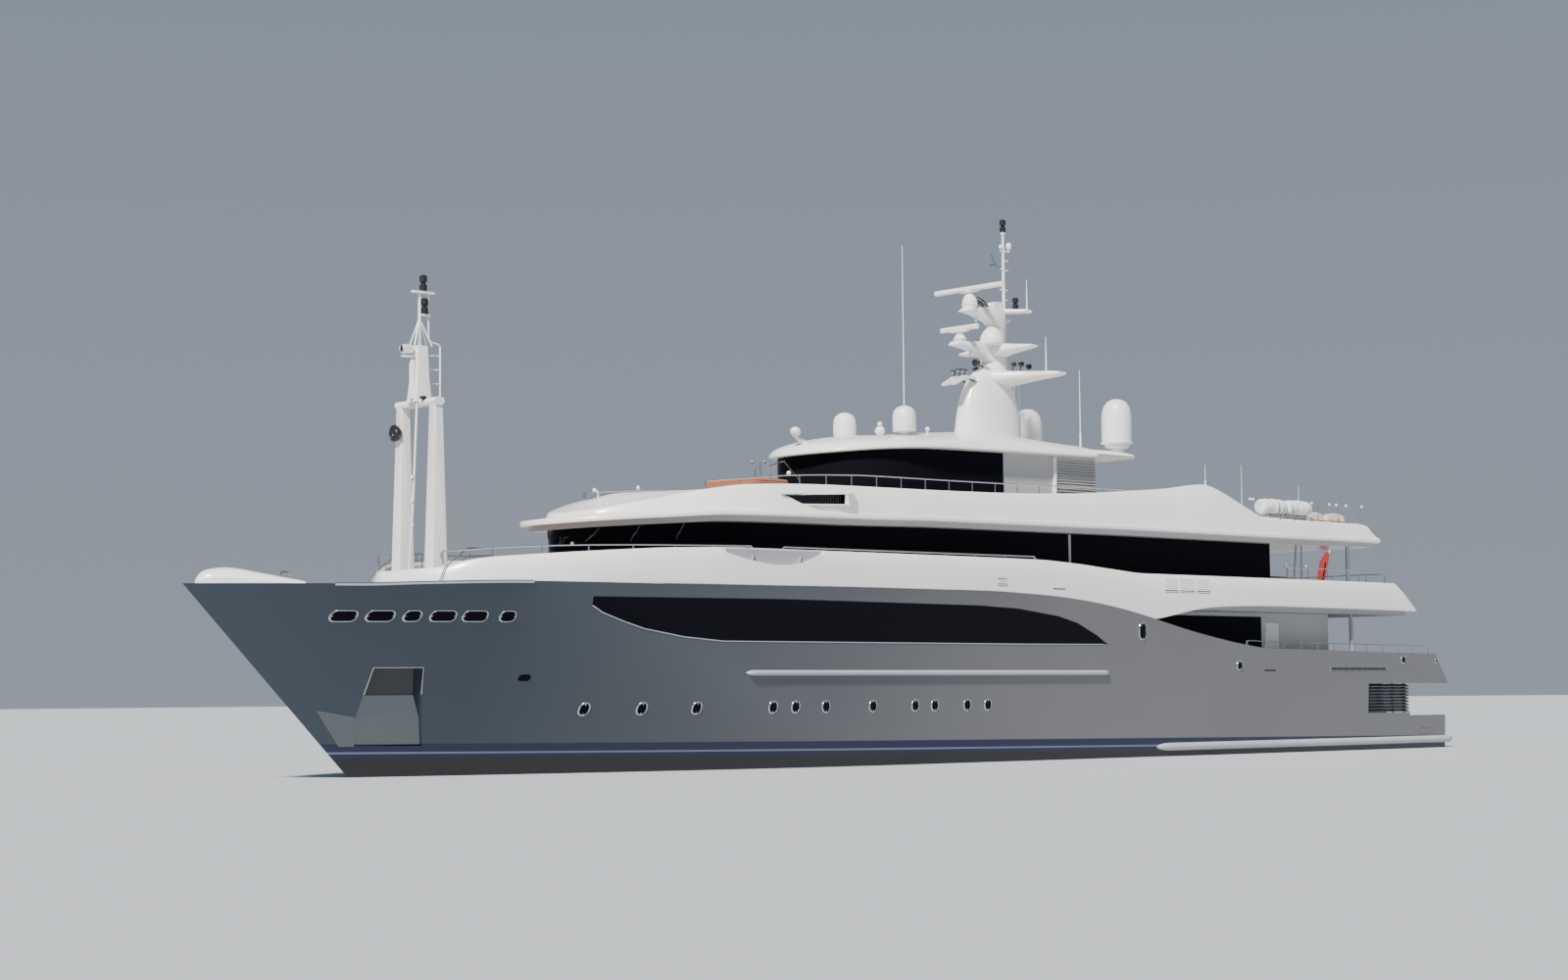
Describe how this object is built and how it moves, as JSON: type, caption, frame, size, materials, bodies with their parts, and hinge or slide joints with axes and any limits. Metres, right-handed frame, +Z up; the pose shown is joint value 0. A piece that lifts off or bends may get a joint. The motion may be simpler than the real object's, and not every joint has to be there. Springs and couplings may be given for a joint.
{
  "type": "motor yacht, 1:2 scale model",
  "caption": "Displacement motor yacht with stepped decks, hardtop, masts and domes, with turning propellers, rudders, fins, scanners and opening doors.",
  "frame": {"origin": "on the centreline amidships, at the level of the water the yacht floats in", "axes": "+X towards the bow, +Y to port, +Z up"},
  "size_m": [30.9, 5.2446, 12.525],
  "materials": {
    "hull_paint": "grey metallic gloss, navy boot top, dark antifouling below",
    "white_paint": "white gloss",
    "grey_trim": "light grey satin",
    "slate_paint": "dark slate satin",
    "white_plastic": "white satin composite",
    "dark_glass": "near black tinted glass",
    "teak": "laid planks, dry",
    "steel": "polished",
    "bronze": "machined bronze",
    "antifouling": "matt dark antifouling"
  },
  "bodies": {
    "ship": {"hull": "hull_paint", "hull_window_port": "dark_glass", "hull_window_stbd": "dark_glass", "side_strake_port": "grey_trim", "side_strake_stbd": "grey_trim", "stern_rail": "grey_trim", "swim_platform": "teak", "louvre_port": "slate_paint", "louvre_stbd": "slate_paint", "mooring_deck": "teak", "upper_deck": "teak", "bulwark": "white_paint", "main_deckhouse": "grey_trim", "main_window_port": "dark_glass", "main_window_stbd": "dark_glass", "aft_screen": "dark_glass", "main_deck": "teak", "upper_deckhouse": "grey_trim", "upper_glass": "dark_glass", "upper_aft_screen": "dark_glass", "sun_deck_slab": "grey_trim", "sun_deck_shell": "white_paint", "sun_deckhouse": "grey_trim", "sun_glass": "dark_glass", "hardtop": "white_paint", "dome_fore_port": "white_plastic", "dome_fore_stbd": "white_plastic", "dome_aft_port": "white_plastic", "dome_aft_stbd": "white_plastic", "main_mast": "white_paint", "fore_mast": "white_paint", "bow_fairing": "white_paint", "windlasses": "steel", "bracket_port": "antifouling", "bracket_stbd": "antifouling", "life_rafts_port": "white_plastic", "life_rafts_stbd": "white_plastic", "ensign_staff": "white_paint"},
    "propeller_port": {"propeller_port": "bronze", "shaft_port": "steel"},
    "propeller_stbd": {"propeller_stbd": "bronze", "shaft_stbd": "steel"},
    "rudder_port": {"rudder_port": "antifouling"},
    "rudder_stbd": {"rudder_stbd": "antifouling"},
    "stabiliser_fin_port": {"stabiliser_fin_port": "antifouling"},
    "stabiliser_fin_stbd": {"stabiliser_fin_stbd": "antifouling"},
    "scanner_upper": {"scanner_upper": "white_plastic"},
    "scanner_lower": {"scanner_lower": "white_plastic"},
    "transom_door": {"transom_door": "hull_paint"},
    "side_door_port": {"side_door_port": "grey_trim"},
    "side_door_stbd": {"side_door_stbd": "grey_trim"},
    "aft_door_port": {"aft_door_port": "dark_glass"},
    "aft_door_stbd": {"aft_door_stbd": "dark_glass"},
    "upper_aft_door_port": {"upper_aft_door_port": "dark_glass"},
    "upper_aft_door_stbd": {"upper_aft_door_stbd": "dark_glass"}
  },
  "joints": [
    {"name": "propeller_port_turn", "type": "hinge", "parent": "ship", "child": "propeller_port", "pos_m": [-13.15, 1.1, -1.075], "axis": [0.9986, 0, 0.0523], "continuous": true},
    {"name": "propeller_stbd_turn", "type": "hinge", "parent": "ship", "child": "propeller_stbd", "pos_m": [-13.15, -1.1, -1.075], "axis": [0.9986, 0, 0.0523], "continuous": true},
    {"name": "rudder_port_steer", "type": "hinge", "parent": "ship", "child": "rudder_port", "pos_m": [-14.35, 1.1, -1], "axis": [0, 0, 1], "range_deg": [-35, 35]},
    {"name": "rudder_stbd_steer", "type": "hinge", "parent": "ship", "child": "rudder_stbd", "pos_m": [-14.35, -1.1, -1], "axis": [0, 0, 1], "range_deg": [-35, 35]},
    {"name": "fin_port_tilt", "type": "hinge", "parent": "ship", "child": "stabiliser_fin_port", "pos_m": [1, 2, -0.95], "axis": [0, 0.7071, -0.7071], "range_deg": [-20, 20]},
    {"name": "fin_stbd_tilt", "type": "hinge", "parent": "ship", "child": "stabiliser_fin_stbd", "pos_m": [1, -2, -0.95], "axis": [0, -0.7071, -0.7071], "range_deg": [-20, 20]},
    {"name": "scanner_upper_turn", "type": "hinge", "parent": "ship", "child": "scanner_upper", "pos_m": [-2.3, 0, 9.3], "axis": [0, 0, 1], "continuous": true},
    {"name": "scanner_lower_turn", "type": "hinge", "parent": "ship", "child": "scanner_lower", "pos_m": [-2, 0, 8.5], "axis": [0, 0, 1], "continuous": true},
    {"name": "transom_door_lift", "type": "hinge", "parent": "ship", "child": "transom_door", "pos_m": [-13.725, 0, 1.38], "axis": [0, 1, 0], "range_deg": [0, 85]},
    {"name": "side_door_port_swing", "type": "hinge", "parent": "ship", "child": "side_door_port", "pos_m": [-9.31, 1.81, 2.2], "axis": [0, 0, -1], "range_deg": [0, 95]},
    {"name": "side_door_stbd_swing", "type": "hinge", "parent": "ship", "child": "side_door_stbd", "pos_m": [-9.31, -1.81, 2.2], "axis": [0, 0, 1], "range_deg": [0, 95]},
    {"name": "aft_door_port_slide", "type": "slide", "parent": "ship", "child": "aft_door_port", "axis": [0, 1, 0], "range_m": [0, 0.6]},
    {"name": "aft_door_stbd_slide", "type": "slide", "parent": "ship", "child": "aft_door_stbd", "axis": [0, -1, 0], "range_m": [0, 0.6]},
    {"name": "upper_aft_door_port_slide", "type": "slide", "parent": "ship", "child": "upper_aft_door_port", "axis": [0, 1, 0], "range_m": [0, 0.6]},
    {"name": "upper_aft_door_stbd_slide", "type": "slide", "parent": "ship", "child": "upper_aft_door_stbd", "axis": [0, -1, 0], "range_m": [0, 0.6]}
  ]
}
